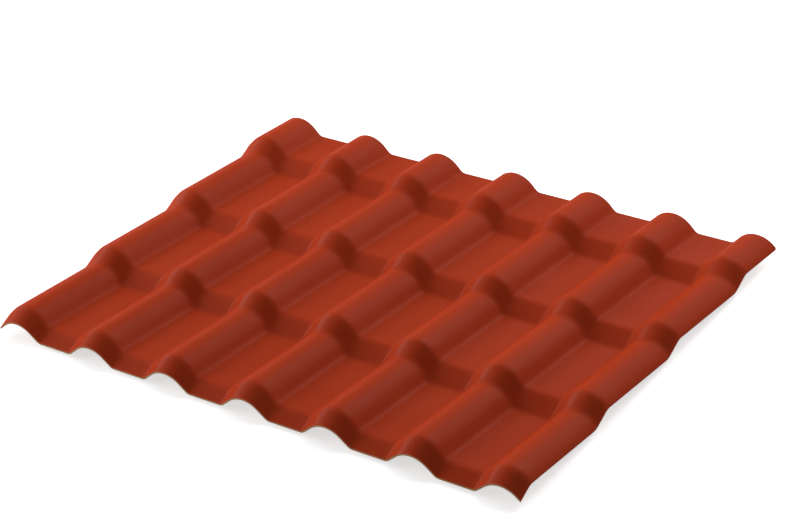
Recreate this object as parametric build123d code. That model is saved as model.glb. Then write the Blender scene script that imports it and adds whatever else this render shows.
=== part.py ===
from build123d import *
from math import atan2, cos, sin, sqrt
import os

# Wave across the sheet, drawn on its weather side. Millimetres.
CREST_PITCH = 160.0
CREST_COUNT = 7
CREST_RADIUS = 45.0
FOOT_RADIUS = 12.0
HALF_WAVE = 50.5
THICKNESS = 3.0

# Stair down the slope. Y runs from the low front edge to the high back edge of the roof. Each step
# rises from its foot to its nose, then falls gently to the next foot.
STEP_LENGTH = 219.0
STEP_HEIGHT = 17.0
BEND_LENGTH = 13.0

# The pans and the crests have a stair each. The crests rise later and more steeply, like the end of
# one barrel tile laid over the next.
CREST_HEIGHT = 27.5
PAN_FOOT = 0.0
PAN_NOSE = 38.5
CREST_FOOT = 7.5
CREST_NOSE = 40.5

# Where each step is drawn as a section, before, inside and after its bends.
SECTION_PLACES = (-5.0, 3.0, 10.0, 36.0, 43.0)

# The sawn edges, measured from the first crest line and from the foot of the first riser.
LEFT_EDGE = -40.0
RIGHT_EDGE = 995.0
FRONT_EDGE = 10.5
BACK_EDGE = 800.5


def stair_level(y, foot, nose):
    """Height of a stair at one place, with the slope changing evenly over each bend."""
    run = nose - foot
    rise = STEP_HEIGHT / run
    fall = STEP_HEIGHT / (STEP_LENGTH - run)
    along = (y - foot) % STEP_LENGTH
    level = rise * along if along < run else STEP_HEIGHT - fall * (along - run)
    for corner, change in ((0.0, rise + fall), (run, -rise - fall), (STEP_LENGTH, rise + fall)):
        reach = max(BEND_LENGTH / 2 - abs(along - corner), 0.0)
        level += change * reach ** 2 / (2 * BEND_LENGTH)
    return level


def wave_edges(centre_x, height, depth):
    """One wave at a depth inside the sheet: foot arc, flank, crest arc, flank, foot arc.

    The flank is the line that crosses between the crest circle and the foot circle and touches both.
    """
    joined = CREST_RADIUS + FOOT_RADIUS
    flank = sqrt(HALF_WAVE ** 2 + (joined - height) ** 2 - joined ** 2)
    angle = atan2(joined, flank) - atan2(joined - height, HALF_WAVE)
    crest = CREST_RADIUS - depth
    foot = FOOT_RADIUS + depth

    def on_foot(turn):
        return (foot * sin(turn) - HALF_WAVE, foot * (1 - cos(turn)))

    shoulder = (-crest * sin(angle), height - crest * (1 - cos(angle)))
    left = [on_foot(0), on_foot(angle / 2), on_foot(angle), shoulder, (0, height)]
    points = left + [(-x, z) for x, z in reversed(left[:-1])]
    start, foot_mid, bend, shoulder, crown, far_shoulder, far_bend, far_mid, end = [
        Vector(centre_x + x, 0, z - depth) for x, z in points
    ]
    return [
        Edge.make_three_point_arc(start, foot_mid, bend),
        Edge.make_line(bend, shoulder),
        Edge.make_three_point_arc(shoulder, crown, far_shoulder),
        Edge.make_line(far_shoulder, far_bend),
        Edge.make_three_point_arc(far_bend, far_mid, end),
    ]


def face_edges(height, depth):
    """All the waves of one face of the sheet, joined by the flat pans."""
    line = []
    for index in range(CREST_COUNT):
        wave = wave_edges(index * CREST_PITCH, height, depth)
        if line:
            line.append(Edge.make_line(line[-1] @ 1, wave[0] @ 0))
        line += wave
    return line


def thick_section(y):
    """The closed outline of the sheet cut across at one place down the slope."""
    pan = stair_level(y, PAN_FOOT, PAN_NOSE)
    crest = CREST_HEIGHT + stair_level(y, CREST_FOOT, CREST_NOSE)
    top = face_edges(crest - pan, 0.0)
    under = face_edges(crest - pan, THICKNESS)
    left = Edge.make_line(top[0] @ 0, under[0] @ 0)
    right = Edge.make_line(top[-1] @ 1, under[-1] @ 1)
    return Pos(0, y, pan) * Wire(top + [right] + under + [left])


def section_places():
    """Front edge, every bend of every step between the edges, and back edge."""
    places = [FRONT_EDGE]
    for step in range(int(BACK_EDGE // STEP_LENGTH) + 1):
        places += [step * STEP_LENGTH + place for place in SECTION_PLACES]
    return [y for y in places if FRONT_EDGE <= y < BACK_EDGE] + [BACK_EDGE]


def tile_sheet():
    """A ruled loft through the sections, sawn to width through the outer waves."""
    blank = Solid.make_loft([thick_section(y) for y in section_places()], ruled=True)
    width = RIGHT_EDGE - LEFT_EDGE
    length = BACK_EDGE - FRONT_EDGE
    saw = Pos(LEFT_EDGE + width / 2, FRONT_EDGE + length / 2, 0)
    sheet = (blank & saw * Box(width, 2 * length, 10 * CREST_HEIGHT)).solid()
    box = sheet.bounding_box()
    return Pos(-box.center().X, -box.center().Y, -box.min.Z) * sheet


if __name__ == "__main__":
    os.makedirs("parts", exist_ok=True)
    sheet = tile_sheet()
    size = sheet.bounding_box().size
    print("tile_sheet", round(size.X, 1), "x", round(size.Y, 1), "x", round(size.Z, 1), "mm")
    print("volume", round(sheet.volume), "mm3, faces", len(sheet.faces()), "valid", sheet.is_valid)
    export_step(sheet, "parts/tile_sheet.step")
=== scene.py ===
import math

import bpy
import numpy as np
from mathutils import Matrix, Vector


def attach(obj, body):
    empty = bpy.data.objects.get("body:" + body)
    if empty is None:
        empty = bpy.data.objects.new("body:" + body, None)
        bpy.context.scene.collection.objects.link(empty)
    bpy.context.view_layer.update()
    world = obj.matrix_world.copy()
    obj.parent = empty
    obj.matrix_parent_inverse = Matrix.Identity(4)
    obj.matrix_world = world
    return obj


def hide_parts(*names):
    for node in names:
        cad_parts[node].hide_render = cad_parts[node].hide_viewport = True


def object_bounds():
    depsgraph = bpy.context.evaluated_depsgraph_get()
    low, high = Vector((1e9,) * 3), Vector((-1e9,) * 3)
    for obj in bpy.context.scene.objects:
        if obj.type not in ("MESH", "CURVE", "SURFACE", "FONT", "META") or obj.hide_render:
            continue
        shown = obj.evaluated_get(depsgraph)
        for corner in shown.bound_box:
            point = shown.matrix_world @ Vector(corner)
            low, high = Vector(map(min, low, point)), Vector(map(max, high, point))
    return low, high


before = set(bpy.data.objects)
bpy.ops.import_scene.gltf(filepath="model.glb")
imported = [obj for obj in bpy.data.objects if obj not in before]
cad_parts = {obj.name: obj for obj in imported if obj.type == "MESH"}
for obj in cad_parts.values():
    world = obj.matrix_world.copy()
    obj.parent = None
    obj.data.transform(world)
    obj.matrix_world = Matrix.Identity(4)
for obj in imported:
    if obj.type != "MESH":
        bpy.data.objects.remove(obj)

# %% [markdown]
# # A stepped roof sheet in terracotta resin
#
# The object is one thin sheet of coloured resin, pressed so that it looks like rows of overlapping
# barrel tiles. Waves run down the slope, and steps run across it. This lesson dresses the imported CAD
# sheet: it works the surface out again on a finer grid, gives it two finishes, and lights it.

cad_low, cad_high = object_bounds()
cad_size = cad_high - cad_low
print("CAD box, mm:", [round(1000 * side, 1) for side in cad_size])

# %% [markdown]
# ## The driving sizes
#
# A stepped sheet needs few numbers. They are the sizes of the real pressing, in metres, and every
# point of the mesh follows from them. Two stairs run down the slope, one along the pans and one along
# the crests. The crest stair starts its rise a little further back and climbs more steeply, which
# gives each crest the look of a barrel tile lying over the one before it. The four sawn edges are
# measured from the first crest line and from the foot of the first riser.

# %% Driving sizes
WAVE_PITCH = 0.160
WAVE_COUNT = 7
CREST_RADIUS = 0.045
FOOT_RADIUS = 0.012
HALF_WAVE = 0.0505
WALL = 0.003

STEP_LENGTH = 0.219
STEP_RISE = 0.017
CREST_HEIGHT = 0.0275
PAN_FOOT = 0.0
PAN_NOSE = 0.0385
CREST_FOOT = 0.0075
CREST_NOSE = 0.0405
BEND = 0.013

LEFT_EDGE = -0.040
RIGHT_EDGE = 0.995
FRONT_EDGE = 0.0105
BACK_EDGE = 0.8005
print("waves in the width:", round((RIGHT_EDGE - LEFT_EDGE) / WAVE_PITCH, 2))
print("steps in the length:", round((BACK_EDGE - FRONT_EDGE) / STEP_LENGTH, 2))


# %% [markdown]
# ## The stair down the slope
#
# Seen from the side, each course of tiles falls gently towards the back, to the foot of the next
# riser. The two slopes could be joined by arcs. A slope that changes evenly over the bend looks the
# same at this size, and gives the height as a plain function of the place, which suits a grid.

# %% Height of a stair
def stair_level(y, foot, nose):
    """Height of a stair that rises from its foot to its nose, at the places y down the slope.

    The straight runs give rise times distance from the foot, then the step less fall times distance
    from the nose. Inside a bend the change of slope, times the square of the reach into the bend,
    over twice the bend, is added.
    """
    run = nose - foot
    rise = STEP_RISE / run
    fall = STEP_RISE / (STEP_LENGTH - run)
    along = np.mod(y - foot, STEP_LENGTH)
    level = np.where(along < run, rise * along, STEP_RISE - fall * (along - run))
    for corner, change in ((0.0, rise + fall), (run, -rise - fall), (STEP_LENGTH, rise + fall)):
        reach = np.clip(BEND / 2 - np.abs(along - corner), 0.0, None)
        level = level + change * reach ** 2 / (2 * BEND)
    return level


pan_ends = stair_level(np.array([PAN_FOOT, PAN_NOSE]), PAN_FOOT, PAN_NOSE)
print("pan stair at its foot and its nose, mm:", [round(1000 * float(z), 1) for z in pan_ends])


# %% [markdown]
# ## The wave across the sheet
#
# A wave is a wide arc over the crest, a short straight flank, and a small arc at the foot on each
# side. The flank touches both arcs, so its angle follows from the radii, the height and the width:
# it is the angle of the tangent line that crosses between two circles. The under side is the same
# wave moved squarely in by the wall, which makes the crest arc tighter and the foot arc wider.

# %% Height of a wave
def wave_level(across, height, depth):
    """Height of one wave at places across it, on the face that lies a depth below the weather side.

    On the crest arc: height less radius plus the root of radius squared less place squared. On the
    flank: a straight line at the tangent's angle. On the foot arc: radius less the root of radius
    squared less the square of the distance to the wave's foot.
    """
    joined = CREST_RADIUS + FOOT_RADIUS
    flank = np.sqrt(HALF_WAVE ** 2 + (joined - height) ** 2 - joined ** 2)
    angle = np.arctan2(joined, flank) - np.arctan2(joined - height, HALF_WAVE)
    crest, foot = CREST_RADIUS - depth, FOOT_RADIUS + depth
    away = np.abs(across)
    shoulder = crest * np.sin(angle)
    bend = HALF_WAVE - foot * np.sin(angle)
    on_crest = height - crest + np.sqrt(np.clip(crest ** 2 - away ** 2, 0.0, None))
    on_flank = height - crest * (1 - np.cos(angle)) - (away - shoulder) * np.tan(angle)
    on_foot = foot - np.sqrt(np.clip(foot ** 2 - (HALF_WAVE - away) ** 2, 0.0, None))
    level = np.where(away < shoulder, on_crest, np.where(away < bend, on_flank, on_foot))
    return np.where(away < HALF_WAVE, level, 0.0) - depth


wave_ends = wave_level(np.array([0.0, HALF_WAVE]), CREST_HEIGHT, 0.0)
print("wave at its crest and its foot, mm:", [round(1000 * float(z), 1) for z in wave_ends])

# %% [markdown]
# ## The grid of the sheet
#
# Columns run up the slope and rows run across. An even grid would need many more faces to be smooth in
# the bends. Here both are closer together where the sheet bends: on the foot arcs of the waves, and on
# the risers. Half a wave has nine columns on the crest, eight on the foot arc and three on the pan.

# %% Columns and rows
EDGE_GAP = 0.001
RISER_SPACING = 0.002


def between_edges(places, first_edge, last_edge):
    """The places between two sawn edges, with the edges themselves at both ends.

    A place closer to an edge than the gap is left out, so that no face is a sliver.
    """
    inside = (places > first_edge + EDGE_GAP) & (places < last_edge - EDGE_GAP)
    return np.concatenate([[first_edge], places[inside], [last_edge]])


half_wave = np.concatenate([
    np.linspace(0.0, 0.032, 9),
    np.linspace(0.035, HALF_WAVE, 8),
    [0.060, 0.070, WAVE_PITCH / 2],
])
whole_wave = np.concatenate([-half_wave[:0:-1], half_wave[:-1]])
crest_lines = np.arange(WAVE_COUNT) * WAVE_PITCH
columns = between_edges((crest_lines[:, None] + whole_wave).ravel(), LEFT_EDGE, RIGHT_EDGE)

riser_rows = np.arange(-0.008, 0.054, RISER_SPACING)
course_rows = np.linspace(0.060, 0.200, 13)
riser_feet = np.arange(-1, 5) * STEP_LENGTH
step_rows = np.concatenate([riser_rows, course_rows])
rows = between_edges((riser_feet[:, None] + step_rows).ravel(), FRONT_EDGE, BACK_EDGE)
print(len(columns), "columns and", len(rows), "rows")


# %% [markdown]
# ## Heights of the two faces
#
# Each row is a wave that stands on the pan stair and reaches the crest stair, so its height changes
# a little from row to row. That alone gives the risers their shape: straight in the pans, and bowed
# over the crests.

# %% Both faces
def face_points(depth):
    """Grid of points: the wave over each row, its height the crest stair less the pan stair."""
    pan = stair_level(rows, PAN_FOOT, PAN_NOSE)
    crest = CREST_HEIGHT + stair_level(rows, CREST_FOOT, CREST_NOSE)
    across = np.mod(columns + WAVE_PITCH / 2, WAVE_PITCH) - WAVE_PITCH / 2
    grid = np.empty((len(columns), len(rows), 3))
    grid[:, :, 0] = columns[:, None]
    grid[:, :, 1] = rows[None, :]
    grid[:, :, 2] = pan[None, :] + wave_level(across[:, None], (crest - pan)[None, :], depth)
    return grid.reshape(-1, 3)


both = np.concatenate([face_points(0.0), face_points(WALL)])
low, high = both.min(axis=0), both.max(axis=0)
fit = np.array(cad_size) / (high - low)
points = (both - low) * fit + np.array(cad_low)
print("fitted to the CAD box by", [round(float(times), 4) for times in fit])

# %% [markdown]
# ## One closed skin
#
# Weather side, under side and the four sawn edges make one closed mesh. A Solidify modifier could give
# the wall, but it would not keep the under side's arcs exact. The faces of a grid are the same for
# every cell, so their corners come from one array of vertex numbers, shifted by a row or a column. The
# under side lists its corners the other way round, so that it faces down.

# %% Faces of the sheet
count = len(columns) * len(rows)
number = np.arange(count).reshape(len(columns), len(rows))
cell_corners = [number[:-1, :-1], number[1:, :-1], number[1:, 1:], number[:-1, 1:]]
top_cells = np.stack(cell_corners, axis=2).reshape(-1, 4)
under_cells = top_cells[:, ::-1] + count
ring = np.concatenate([number[:-1, 0], number[-1, :-1], number[:0:-1, -1], number[0, :0:-1]])
after = np.roll(ring, -1)
edge_cells = np.stack([ring, ring + count, after + count, after], axis=1)
cells = np.concatenate([top_cells, under_cells, edge_cells])
print(len(top_cells), "faces on each side and", len(edge_cells), "round the edge")

# %% [markdown]
# ## Which faces are skin and which are core
#
# The coloured skin laps over the two long sides. The core shows underneath, and where the front and the
# back are sawn. The ring of edge faces goes round by front, right side, back and left side, so the
# finish of each face follows from its place in the list.

# %% Mesh of the sheet
SKIN, CORE = 0, 1
SHARPEST_SMOOTH_BEND = math.radians(50)

mesh = bpy.data.meshes.new("resin_sheet")
mesh.from_pydata(points.tolist(), [], cells.tolist())
mesh.polygons.foreach_set("use_smooth", np.ones(len(cells), bool))
mesh.set_sharp_from_angle(angle=SHARPEST_SMOOTH_BEND)
end_cells, side_cells = len(columns) - 1, len(rows) - 1
finish_index = np.repeat(
    [SKIN, CORE, CORE, SKIN, CORE, SKIN],
    [len(top_cells), len(under_cells), end_cells, side_cells, end_cells, side_cells],
)
mesh.polygons.foreach_set("material_index", finish_index.astype(np.int32))
mesh.validate()
mesh.update()
sheet = bpy.data.objects.new("resin_sheet", mesh)
bpy.context.scene.collection.objects.link(sheet)
print("sheet of", len(mesh.vertices), "points and", 2 * len(mesh.polygons), "triangles")

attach(sheet, "root")
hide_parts("tile_sheet")

# %% [markdown]
# ## The weather skin and its gloss
#
# The top of the sheet is a thin layer of coloured resin, rolled on while it was made. On the real
# sheet it is smooth and only faintly shiny.
#
# A weak gloss could come from a low specular level, but that lowers the index of refraction, and then
# the gloss is far stronger at a glancing look than straight on. A coat of low weight keeps the usual
# index and is weak from every side, as the real sheet is, so the coat carries all the gloss here.

# %% Weather skin
SKIN_GLOSS_WIDTH = 0.30

skin = bpy.data.materials.new("terracotta_skin")
skin.use_nodes = True
skin_tree = skin.node_tree
skin_shader = skin_tree.nodes["Principled BSDF"]
skin_shader.inputs["Specular IOR Level"].default_value = 0.0
skin_shader.inputs["Coat Roughness"].default_value = SKIN_GLOSS_WIDTH
skin_place = skin_tree.nodes.new("ShaderNodeTexCoord").outputs["Object"]
mesh.materials.append(skin)
print("gloss by a coat of roughness", SKIN_GLOSS_WIDTH)


# %% [markdown]
# ## The drift of its colour
#
# The real colour is almost even, but a single flat red would look painted on. The skin drifts slowly
# between a deeper and a warmer red. The drift could be painted on an unwrapped sheet. A noise pattern
# in the sheet's own coordinates needs no unwrapping, and it stays with the sheet.

# %% Drift of colour
SKIN_DEEP = (0.358, 0.0350, 0.0098, 1.0)
SKIN_WARM = (0.380, 0.0395, 0.0116, 1.0)
DRIFT_SCALE, DRIFT_DETAIL = 5.0, 3.0
NOISE_LOW, NOISE_HIGH = 0.3, 0.7


def spread(tree, value, low, high, to_low, to_high):
    """Maps a value from one range to another, and stops at the ends."""
    node = tree.nodes.new("ShaderNodeMapRange")
    ends = (("From Min", low), ("From Max", high), ("To Min", to_low), ("To Max", to_high))
    for name, number in ends:
        node.inputs[name].default_value = number
    tree.links.new(value, node.inputs["Value"])
    return node.outputs["Result"]


def noise(tree, place, scale, detail):
    """A noise pattern at a place, with its finest detail a given number of octaves down."""
    pattern = tree.nodes.new("ShaderNodeTexNoise")
    pattern.inputs["Scale"].default_value = scale
    pattern.inputs["Detail"].default_value = detail
    tree.links.new(place, pattern.inputs["Vector"])
    return pattern.outputs["Fac"]


def noise_between(tree, pattern, to_low, to_high):
    """The range that most of a noise pattern lies in, stretched from one value to another."""
    return spread(tree, pattern, NOISE_LOW, NOISE_HIGH, to_low, to_high)


def blend(tree, factor, first, second):
    """A colour that goes from the first to the second. Either can be a plain colour or a socket."""
    node = tree.nodes.new("ShaderNodeMix")
    node.data_type = "RGBA"
    tree.links.new(factor, node.inputs["Factor"])
    for socket, colour in (("A", first), ("B", second)):
        if isinstance(colour, tuple):
            node.inputs[socket].default_value = colour
        else:
            tree.links.new(colour, node.inputs[socket])
    return node.outputs["Result"]


drift = noise(skin_tree, skin_place, DRIFT_SCALE, DRIFT_DETAIL)
ground = blend(skin_tree, noise_between(skin_tree, drift, 0.0, 1.0), SKIN_DEEP, SKIN_WARM)
print("skin between", SKIN_DEEP[:3], "and", SKIN_WARM[:3])

# %% [markdown]
# ## Specks of dust
#
# A few dark specks lie on any sheet that has stood in a yard. They could be tiny pieces, but they are
# flat and far smaller than a wave. A Voronoi pattern gives one point in each of its cells, and what is
# very near such a point is a speck.

# %% Specks of dust
SPECK_BROWN = (0.06, 0.010, 0.005, 1.0)
SPECK_CELLS_PER_METRE = 14.0
# How far a speck's core and its rim reach from its point, as shares of a cell.
SPECK_CORE, SPECK_RIM = 0.009, 0.014

specks = skin_tree.nodes.new("ShaderNodeTexVoronoi")
specks.inputs["Scale"].default_value = SPECK_CELLS_PER_METRE
skin_tree.links.new(skin_place, specks.inputs["Vector"])
speck_mask = spread(skin_tree, specks.outputs["Distance"], SPECK_CORE, SPECK_RIM, 1.0, 0.0)
skin_colour = blend(skin_tree, speck_mask, ground, SPECK_BROWN)
skin_tree.links.new(skin_colour, skin_shader.inputs["Base Color"])
print("specks up to", round(2000 * SPECK_RIM / SPECK_CELLS_PER_METRE, 1), "mm across")

# %% [markdown]
# ## Wear and orange peel
#
# Handling rubs the gloss down in soft patches, and the rollers leave a very fine orange peel. Both are
# too fine or too faint to be shape, so one noise pattern drives the coat and the roughness together,
# and a finer one drives a bump.

# %% Wear and orange peel
WEAR_SCALE, WEAR_DETAIL = 18.0, 5.0
COAT_FRESH, COAT_WORN = 0.068, 0.052
ROUGH_FRESH, ROUGH_WORN = 0.50, 0.60
PEEL_SCALE, PEEL_DETAIL = 420.0, 2.0
PEEL_STRENGTH, PEEL_DEPTH = 0.12, 0.0003

wear = noise(skin_tree, skin_place, WEAR_SCALE, WEAR_DETAIL)
coat_weight = noise_between(skin_tree, wear, COAT_FRESH, COAT_WORN)
roughness = noise_between(skin_tree, wear, ROUGH_FRESH, ROUGH_WORN)
skin_tree.links.new(coat_weight, skin_shader.inputs["Coat Weight"])
skin_tree.links.new(roughness, skin_shader.inputs["Roughness"])

bump = skin_tree.nodes.new("ShaderNodeBump")
bump.inputs["Strength"].default_value = PEEL_STRENGTH
bump.inputs["Distance"].default_value = PEEL_DEPTH
peel = noise(skin_tree, skin_place, PEEL_SCALE, PEEL_DETAIL)
skin_tree.links.new(peel, bump.inputs["Height"])
skin_tree.links.new(bump.outputs["Normal"], skin_shader.inputs["Normal"])
print("coat weight from", COAT_WORN, "to", COAT_FRESH)

# %% [markdown]
# ## The resin core
#
# Where the sheet is sawn, and underneath, the core shows: a paler tan plastic without the skin. It is
# dull, and a fine grain of two tans keeps it from looking flat. It could share the skin's material
# with a mask for the colour, but a second material on the same mesh is simpler and sharper at the edge.

# %% Resin core
CORE_TAN = (0.46, 0.235, 0.105, 1.0)
CORE_DARK = (0.36, 0.175, 0.075, 1.0)
GRAIN_SCALE, GRAIN_DETAIL = 60.0, 6.0
CORE_SPECULAR = 0.3
CORE_SMOOTH, CORE_ROUGH = 0.55, 0.7

core = bpy.data.materials.new("resin_core")
core.use_nodes = True
core_tree = core.node_tree
core_shader = core_tree.nodes["Principled BSDF"]
core_shader.inputs["Specular IOR Level"].default_value = CORE_SPECULAR
core_place = core_tree.nodes.new("ShaderNodeTexCoord").outputs["Object"]
grain = noise(core_tree, core_place, GRAIN_SCALE, GRAIN_DETAIL)
core_colour = blend(core_tree, noise_between(core_tree, grain, 0.0, 1.0), CORE_DARK, CORE_TAN)
core_roughness = noise_between(core_tree, grain, CORE_SMOOTH, CORE_ROUGH)
core_tree.links.new(core_colour, core_shader.inputs["Base Color"])
core_tree.links.new(core_roughness, core_shader.inputs["Roughness"])
mesh.materials.append(core)
print("finishes:", [material.name for material in mesh.materials])

# %% [markdown]
# ## The floor
#
# The sheet lies on a wide, plain floor. A small one would show its edge in low views, so it reaches far
# past the picture on every side. It lies a hair under the sheet, so that the two don't flicker.

# %% Floor
FLOOR_REACH = 30.0
FLOOR_DROP = 0.0005

floor_corners = FLOOR_REACH * np.array([(-1, -1, 0), (1, -1, 0), (1, 1, 0), (-1, 1, 0)])
floor_mesh = bpy.data.meshes.new("studio_floor")
floor_mesh.from_pydata(floor_corners.tolist(), [], [(0, 1, 2, 3)])
floor = bpy.data.objects.new("studio_floor", floor_mesh)
floor.location.z = cad_low.z - FLOOR_DROP
bpy.context.scene.collection.objects.link(floor)
print("floor", 2 * FLOOR_REACH, "m wide")


# %% [markdown]
# ## A white that sheds little light
#
# Floor and sky could be made white by strong light, but that light would fall on the sheet too. Here
# Light Path makes them white only for the rays that look at them, straight from the camera or by way
# of gloss and glass, while the light that they shed stays low: the flanks that face away from the
# lamps are in deep shade. Near the sheet the floor shows partly by the lamps' own light, so it keeps a
# soft shadow, and further off it is white by itself.

# %% White of the floor
FLOOR_GREY = (0.8, 0.8, 0.8, 1.0)
FLOOR_ROUGHNESS = 0.9
GLOW_WHITE = (1.0, 1.0, 1.0, 1.0)
GLOW_NEAR, GLOW_FAR = 0.65, 1.0
SHADOW_REACH, WHITE_REACH = 1.0, 2.5


def looking_ray(tree):
    """1 for a ray that looks: from the camera, or by way of gloss or glass. 0 for a ray of light."""
    path = tree.nodes.new("ShaderNodeLightPath")
    total = path.outputs["Is Camera Ray"]
    for name in ("Is Glossy Ray", "Is Transmission Ray"):
        add = tree.nodes.new("ShaderNodeMath")
        add.operation = "ADD"
        add.use_clamp = True
        tree.links.new(total, add.inputs[0])
        tree.links.new(path.outputs[name], add.inputs[1])
        total = add.outputs[0]
    return total


white = bpy.data.materials.new("white_floor")
white.use_nodes = True
white_tree = white.node_tree
paint = white_tree.nodes["Principled BSDF"]
paint.inputs["Base Color"].default_value = FLOOR_GREY
paint.inputs["Roughness"].default_value = FLOOR_ROUGHNESS
paint.inputs["Specular IOR Level"].default_value = 0.0
paint.inputs["Emission Color"].default_value = GLOW_WHITE

distance = white_tree.nodes.new("ShaderNodeVectorMath")
distance.operation = "LENGTH"
floor_place = white_tree.nodes.new("ShaderNodeTexCoord").outputs["Object"]
white_tree.links.new(floor_place, distance.inputs[0])
from_middle = distance.outputs["Value"]
glow = white_tree.nodes.new("ShaderNodeMath")
glow.operation = "MULTIPLY"
glow_level = spread(white_tree, from_middle, SHADOW_REACH, WHITE_REACH, GLOW_NEAR, GLOW_FAR)
white_tree.links.new(glow_level, glow.inputs[0])
white_tree.links.new(looking_ray(white_tree), glow.inputs[1])
white_tree.links.new(glow.outputs[0], paint.inputs["Emission Strength"])
floor_mesh.materials.append(white)
print("floor white by itself from", WHITE_REACH, "m")

# %% World
SKY_LIGHT = 0.02
SKY_SHOWN = 1.0

world = bpy.data.worlds.new("studio")
bpy.context.scene.world = world
world.use_nodes = True
background = world.node_tree.nodes["Background"]
background.inputs["Color"].default_value = GLOW_WHITE
sky = spread(world.node_tree, looking_ray(world.node_tree), 0.0, 1.0, SKY_LIGHT, SKY_SHOWN)
world.node_tree.links.new(sky, background.inputs["Strength"])
print("sky shows at", SKY_SHOWN, "and lights at", SKY_LIGHT)


# %% [markdown]
# ## The lamps
#
# Soft light comes from the left and from behind, much of it low, so that each wave has a light side
# and a dark side, and each riser is darker than the course behind it. One strong sun would draw hard
# shadows that the real sheet doesn't show. Wide area lamps give the soft change from light to dark,
# and the small one on the left adds a faint glint where a crest drops to the next course.

# %% Lamps
LAMP_DISTANCE = 4.0


def soft_lamp(name, azimuth, elevation, width, height, power):
    """A rectangular lamp that looks at the sheet's middle from a bearing and a height, in degrees.

    Its place is the lamp distance times the direction: sine of the bearing, less its cosine, both
    times the cosine of the height, and the sine of the height. Bearing 0 is the front, 90 the right.
    """
    turn, lift = math.radians(azimuth), math.radians(elevation)
    flat = math.cos(lift)
    away = Vector((math.sin(turn) * flat, -math.cos(turn) * flat, math.sin(lift)))
    lamp = bpy.data.lights.new(name, "AREA")
    lamp.shape = "RECTANGLE"
    lamp.size = width
    lamp.size_y = height
    lamp.energy = power
    holder = bpy.data.objects.new(name, lamp)
    holder.location = away * LAMP_DISTANCE
    holder.rotation_mode = "QUATERNION"
    holder.rotation_quaternion = (-away).to_track_quat("-Z", "Y")
    bpy.context.scene.collection.objects.link(holder)


soft_lamp("left_window", 270, 35, 3.0, 3.0, 46)
soft_lamp("left_small", 260, 24, 1.2, 1.2, 34)
soft_lamp("left_low", 250, 8, 4.0, 1.4, 20)
soft_lamp("front_left_low", 300, 14, 3.0, 2.0, 90)
soft_lamp("back_window", 180, 35, 4.0, 4.0, 80)
soft_lamp("back_high", 165, 50, 3.0, 3.0, 76)
soft_lamp("right_fill", 120, 12, 2.0, 2.0, 21)
print(len(bpy.data.lights), "lamps of", sum(lamp.energy for lamp in bpy.data.lights), "W in all")

# %% [markdown]
# ## The camera
#
# A long lens looks from the front right, from a little over a third of a right angle up. A camera can
# be aimed by a tracking constraint, but that can't give it the slight roll that it has here, so its
# three directions are worked out. Its place is measured from the middle of the sheet's footprint.

# %% Camera
CAMERA_AZIMUTH = math.radians(38.054)
CAMERA_ELEVATION = math.radians(30.867)
CAMERA_ROLL = math.radians(-5.901)
CAMERA_LENS = 113.06
CAMERA_FILM = 36.0
CAMERA_PLACE = (2.2289, -2.8067, 2.198)
CAMERA_SIGHT = 100.0

camera_data = bpy.data.cameras.new("camera")
camera_data.lens = CAMERA_LENS
camera_data.sensor_width = CAMERA_FILM
camera_data.clip_end = CAMERA_SIGHT
camera = bpy.data.objects.new("camera", camera_data)
back = Vector((
    math.sin(CAMERA_AZIMUTH) * math.cos(CAMERA_ELEVATION),
    -math.cos(CAMERA_AZIMUTH) * math.cos(CAMERA_ELEVATION),
    math.sin(CAMERA_ELEVATION),
))
right = (-back).cross(Vector((0, 0, 1))).normalized()
up = right.cross(-back)
level_view = Matrix((right, up, back)).transposed()
camera.location = CAMERA_PLACE
camera.rotation_mode = "QUATERNION"
camera.rotation_quaternion = (level_view @ Matrix.Rotation(CAMERA_ROLL, 3, "Z")).to_quaternion()
bpy.context.scene.collection.objects.link(camera)
bpy.context.scene.camera = camera
bpy.context.scene.view_settings.view_transform = "Standard"
print("camera", round(Vector(CAMERA_PLACE).length, 2), "m from the sheet's middle")
